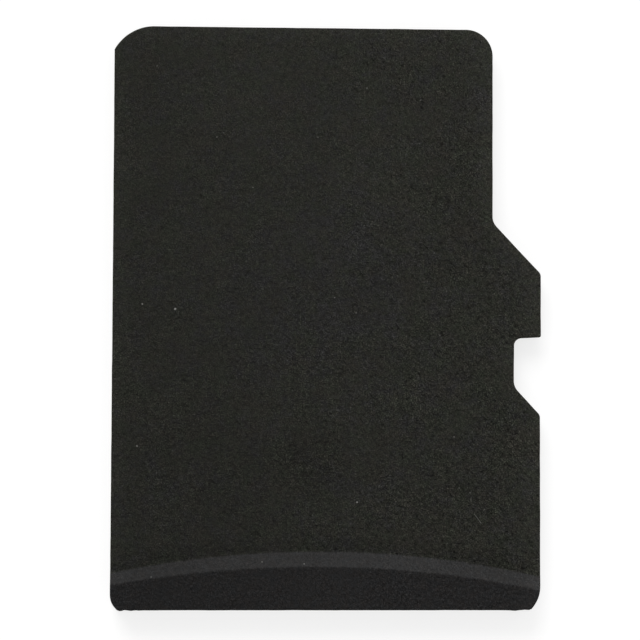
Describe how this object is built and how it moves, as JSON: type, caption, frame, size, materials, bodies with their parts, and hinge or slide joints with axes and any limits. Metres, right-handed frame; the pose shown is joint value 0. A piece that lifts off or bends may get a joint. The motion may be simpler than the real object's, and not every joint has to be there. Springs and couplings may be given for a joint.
{
  "type": "microsd card",
  "caption": "Blank black micro memory card, 15 x 11 mm and 1.0 mm thick at its finger ridge, with lug and notch on one side and eight gold contacts underneath.",
  "frame": {"origin": "centre of the card's 11 x 15 mm outline, on the plane of its contact side", "axes": "+Z out of the label side, +Y towards the contact end that goes into the socket first, +X towards the side with the lug and the notch"},
  "size_m": [0.011, 0.015, 0.001],
  "materials": {
    "moulding": "blank matte black moulding compound with fine spark-eroded grain; the grip ramp is smoother and looks lighter",
    "contact_side_mask": "black solder mask, satin",
    "laminate": "sawn edge of the glass and epoxy core, dark olive",
    "die_side_mask": "black solder mask, satin",
    "contact_gold": "hard gold plating over nickel, satin",
    "finger_gold": "soft bondable gold plating",
    "silicon": "polished silicon with a passivated face",
    "die_film": "die attach film",
    "wire_gold": "drawn gold wire",
    "capacitor_ceramic": "tan fired ceramic",
    "tin": "matt tin plating",
    "solder": "satin tin solder"
  },
  "bodies": {
    "root": {"moulded_body": "moulding", "contact_side_mask": "contact_side_mask", "laminate_core": "laminate", "die_side_mask": "die_side_mask", "contact_1_dat2": "contact_gold", "contact_2_dat3": "contact_gold", "contact_3_cmd": "contact_gold", "contact_4_vdd": "contact_gold", "contact_5_clk": "contact_gold", "contact_6_vss": "contact_gold", "contact_7_dat0": "contact_gold", "contact_8_dat1": "contact_gold", "bond_fingers": "finger_gold", "capacitor_lands": "finger_gold", "flash_die": "silicon", "flash_die_film": "die_film", "controller_die": "silicon", "controller_die_film": "die_film", "flash_bond_wires": "wire_gold", "controller_bus_wires": "wire_gold", "controller_host_wires": "wire_gold", "capacitor_1": "capacitor_ceramic", "capacitor_2": "capacitor_ceramic", "capacitor_3": "capacitor_ceramic", "capacitor_ends": "tin", "solder_joints": "solder"}
  },
  "joints": []
}
